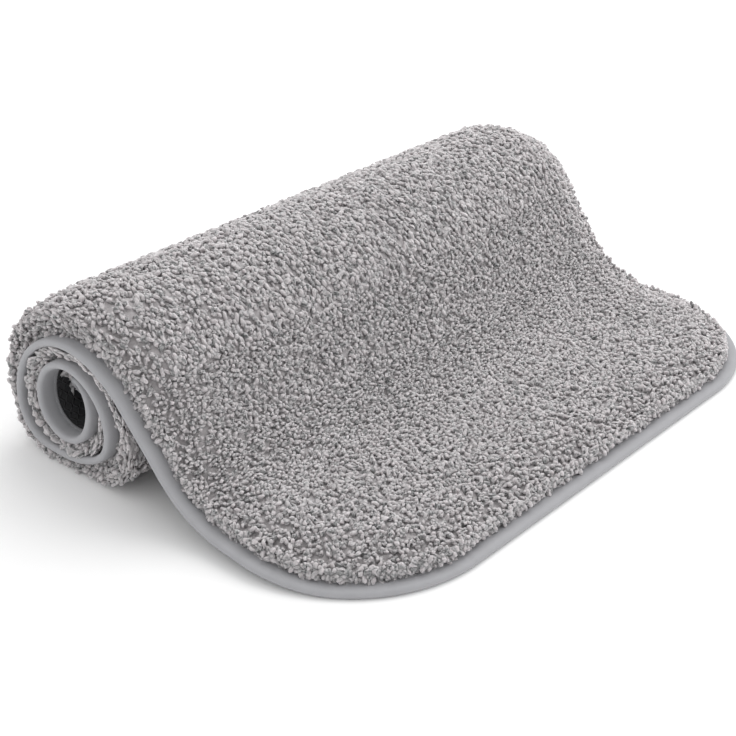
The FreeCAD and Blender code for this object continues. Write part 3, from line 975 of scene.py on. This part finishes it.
def make_pile(sizes, colours):
    """The dense pile, and the tufts on it in pieces from the front edge on."""
    material = yarn_material(colours)
    rng = np.random.default_rng(SEED)
    shapes = [tuft_shape(f"tuft_{number:02d}", rng, sizes) for number in range(TUFT_SHAPES)]
    places = tuft_places(sizes, rng)
    places["pick"] = rng.integers(0, len(shapes), len(places["point"]))
    order = np.argsort(places["point"][:, 1], kind="stable")
    pieces = []
    count = math.ceil(len(order) / TUFTS_PER_PIECE)
    for number, part in enumerate(np.array_split(order, count), start=1):
        chosen = {key: value[part] for key, value in places.items()}
        pieces.append(scatter(f"pile_{number:02d}", shapes, chosen, material, TUFT_SPREAD, SEED + number))
    for name, spacing, first, last in (
        ("pile_dense", DENSE_SPACING, 0.0, SEEN_TO),
        ("pile_dense_inside", INSIDE_SPACING, SEEN_TO, LENGTH),
    ):
        piece = make_dense_pile(name, sizes, spacing, first, last)
        piece.data.materials.append(material)
        pieces.append(piece)
    for piece in pieces:
        roll_up(piece.data, sizes.root_inset)
        if "dense" in piece.name:
            point_out(piece.data)
        hold(piece, "pile")


# --- Seam and mesh ------------------------------------------------------------------------------------------

SEAM_INSET = 9.5 * MM
SEAM_HEIGHTS = {"upper": 4.16 * MM, "lower": 0.36 * MM}
STITCH_RADII = np.array([0.12, 0.25, 0.27, 0.25, 0.12]) * MM
STITCH_PART = 0.86  # of the pitch, and the rest is the gap to the next stitch
STITCH_ARCH = 0.12 * MM

RIB_RADIUS = 0.55 * MM
RIB_HEIGHT = 0.95 * MM
RIB_OVERLAP = 1.04  # ribs are this much longer than the way between two crossings, so that they meet
# The mat's back is hidden between these two places along the sheet, but for this much at the roll's ends.
HIDDEN_FROM = 0.24
HIDDEN_TO = 0.49
HIDDEN_END = 0.04


def bar_shape(name, length, radii, sides, arch=0.0, flatten=1.0):
    """A short closed bar along X, arched up in the middle, with these radii from one end to the other."""
    t = np.linspace(-1, 1, len(radii))
    centres = np.stack([t * length / 2, 0 * t, arch * (1 - t**2)], axis=1)
    points, faces = tube(centres, radii, sides)
    points = np.array(points)
    points[:, 2] *= flatten
    return mesh_from(name, points, faces)


def make_seam(sizes, colours):
    """Stitches along the tape's hems, on both faces."""
    material = plain_material("sewing_thread", colours.thread, 2600.0, 0.05 * MM, 0.6)
    stitch = bar_shape("stitch", STITCH_PART * sizes.stitch_pitch, STITCH_RADII, 6, arch=STITCH_ARCH)
    s, x, in_s, in_x, _ = outline(SEAM_INSET, sizes.stitch_pitch)
    pieces = []
    for face, side in (("upper", 1), ("lower", -1)):
        point, normal, along = sheet(s, x, SEAM_HEIGHTS[face])
        across = np.cross(along, normal)
        places = {
            "point": point,
            "normal": side * normal,
            "along": along * -in_x[:, None] + across * in_s[:, None],
            "size": np.ones((len(s), 3)),
            "pick": np.zeros(len(s), int),
        }
        piece = scatter(f"seam_{face}", [stitch], places, material, 0.04, SEED + side)
        hold(piece, "binding_thread")
        pieces.append(piece)
    return pieces


def make_mesh(sizes, colours):
    """The non-slip mesh: a thin film with ribs that cross in diamonds, on the mat's back."""
    material = plain_material("soft_rubber", colours.mesh, 700.0, 0.15 * MM, 0.62)
    film = layer("nonslip_mesh", MESH_FACES, material)
    pitch = sizes.mesh_pitch
    rows = np.arange(0, LENGTH, pitch / 2)
    columns = np.arange(-HALF_WIDTH, HALF_WIDTH, pitch / 2)
    s, x = (each.ravel() for each in np.meshgrid(rows, columns, indexing="ij"))
    rising = (np.arange(len(rows))[:, None] + np.arange(len(columns))[None, :]).ravel() % 2
    s, x = s + pitch / 4, x + pitch / 4
    seen = (s < HIDDEN_FROM) | (s > HIDDEN_TO) | (HALF_WIDTH - np.abs(x) < HIDDEN_END)
    kept = (from_outline(s, x)[0] > sizes.tape_flange + 1.5 * MM) & seen
    s, x, rising = s[kept], x[kept], rising[kept]
    point, normal, along = sheet(s, x, RIB_HEIGHT)
    across = np.cross(along, normal)
    places = {
        "point": point,
        "normal": -normal,
        "along": along + across * np.where(rising, 1, -1)[:, None],
        "size": np.ones((len(s), 3)),
        "pick": np.zeros(len(s), int),
    }
    rib = bar_shape("rib", pitch / 2 * math.sqrt(2) * RIB_OVERLAP, [RIB_RADIUS] * 2, 4, flatten=0.9)
    ribs = scatter("nonslip_ribs", [rib], places, material, 0.03, SEED)
    return film, ribs


# --- Operators ----------------------------------------------------------------------------------------------


class MakeBacking(bpy.types.Operator):
    """Build the backing cloth, the adhesive coat and the non-slip mesh"""

    bl_idname = "bath_mat.make_backing"
    bl_label = "Make Backing"

    def execute(self, context):
        sizes, colours = context.scene.bath_mat_sizes, context.scene.bath_mat_colours
        cloth = layer("backing_cloth", CLOTH_FACES, weave_material(colours))
        hold(cloth, "backing_cloth")
        glue = plain_material("adhesive_coat", colours.coat, 300.0, 0.3 * MM, 0.7)
        coat = layer("adhesive_coat", COAT_FACES, glue)
        hold(coat, "adhesive_coat")
        film, ribs = make_mesh(sizes, colours)
        for piece in (film, ribs):
            hold(piece, "nonslip_mesh")
        return {"FINISHED"}


class MakeTape(bpy.types.Operator):
    """Build the binding tape and its seam"""

    bl_idname = "bath_mat.make_tape"
    bl_label = "Make Binding Tape"

    def execute(self, context):
        sizes, colours = context.scene.bath_mat_sizes, context.scene.bath_mat_colours
        tape = make_tape(colours)
        hold(tape, "binding_tape")
        seams = make_seam(sizes, colours)
        return {"FINISHED"}


class MakePile(bpy.types.Operator):
    """Build the tufted pile"""

    bl_idname = "bath_mat.make_pile"
    bl_label = "Make Pile"

    def execute(self, context):
        make_pile(context.scene.bath_mat_sizes, context.scene.bath_mat_colours)
        return {"FINISHED"}


FLOOR_HALF = 4.0
WORLD_STRENGTH = 0.95
CAMERA_AZIMUTH = -47.8
CAMERA_ELEVATION = 29.1
CAMERA_PLACE = (-0.5839, -0.3509, 0.4369)  # from the middle of the front edge
CAMERA_LENS = 71.0


def area_light(name, place, size, power):
    """A round lamp that points at the origin."""
    light = bpy.data.lights.new(name, "AREA")
    light.shape = "DISK"
    light.size = size
    light.energy = power
    lamp = new_object(name, light)
    lamp.location = place
    lamp.rotation_euler = (-Vector(place)).to_track_quat("-Z", "Y").to_euler()


class MakeStage(bpy.types.Operator):
    """Lay the floor, and set up the lights and the camera"""

    bl_idname = "bath_mat.make_stage"
    bl_label = "Make Stage"

    def execute(self, context):
        scene = context.scene
        corners = [(x * FLOOR_HALF, y * FLOOR_HALF, 0) for x, y in ((-1, -1), (1, -1), (1, 1), (-1, 1))]
        floor = new_object("floor", mesh_from("floor", corners, [(0, 1, 2, 3)]))
        shader = Shader("pale_floor", Base_Color=(0.93, 0.93, 0.93, 1), Roughness=0.9, Specular_IOR_Level=0.0)
        floor.data.materials.append(shader.material)

        world = bpy.data.worlds.new("studio")
        world.use_nodes = True
        background = next(node for node in world.node_tree.nodes if node.type == "BACKGROUND")
        background.inputs["Color"].default_value = (1.0, 1.0, 1.0, 1)
        background.inputs["Strength"].default_value = WORLD_STRENGTH
        scene.world = world
        area_light("overhead", (0.75, 0.35, 1.4), size=1.6, power=11.0)
        area_light("front_fill", (1.3, -1.2, 0.8), size=1.4, power=5.0)

        camera = new_object("camera", bpy.data.cameras.new("camera"))
        x, y, z = CAMERA_PLACE
        camera.location = (x, FRONT_Y + y, z)
        camera.rotation_euler = (math.radians(90 - CAMERA_ELEVATION), 0, math.radians(CAMERA_AZIMUTH))
        camera.data.lens = CAMERA_LENS
        camera.data.sensor_width = 36.0
        camera.data.clip_start = 0.01
        scene.camera = camera
        scene.view_settings.view_transform = "Standard"
        return {"FINISHED"}


class BathMatPanel(bpy.types.Panel):
    """The bath mat's sizes, colours and steps"""

    bl_idname = "VIEW3D_PT_bath_mat"
    bl_label = "Bath Mat"
    bl_space_type = "VIEW_3D"
    bl_region_type = "UI"
    bl_category = "Bath Mat"

    def draw(self, context):
        for group in (context.scene.bath_mat_sizes, context.scene.bath_mat_colours):
            box = self.layout.box()
            for name in group.bl_rna.properties.keys():
                if name not in ("rna_type", "name"):
                    box.prop(group, name)
        for operator in (MakeBacking, MakeTape, MakePile, MakeStage):
            self.layout.operator(operator.bl_idname)


CLASSES = (BathMatSizes, BathMatColours, MakeBacking, MakeTape, MakePile, MakeStage, BathMatPanel)


def register():
    for each in CLASSES:
        bpy.utils.register_class(each)
    bpy.types.Scene.bath_mat_sizes = bpy.props.PointerProperty(type=BathMatSizes)
    bpy.types.Scene.bath_mat_colours = bpy.props.PointerProperty(type=BathMatColours)


def unregister():
    del bpy.types.Scene.bath_mat_sizes
    del bpy.types.Scene.bath_mat_colours
    for each in reversed(CLASSES):
        bpy.utils.unregister_class(each)


def main():
    register()
    bpy.ops.bath_mat.make_stage()
    bpy.ops.bath_mat.make_backing()
    bpy.ops.bath_mat.make_tape()
    bpy.ops.bath_mat.make_pile()


if __name__ == "__main__":
    main()
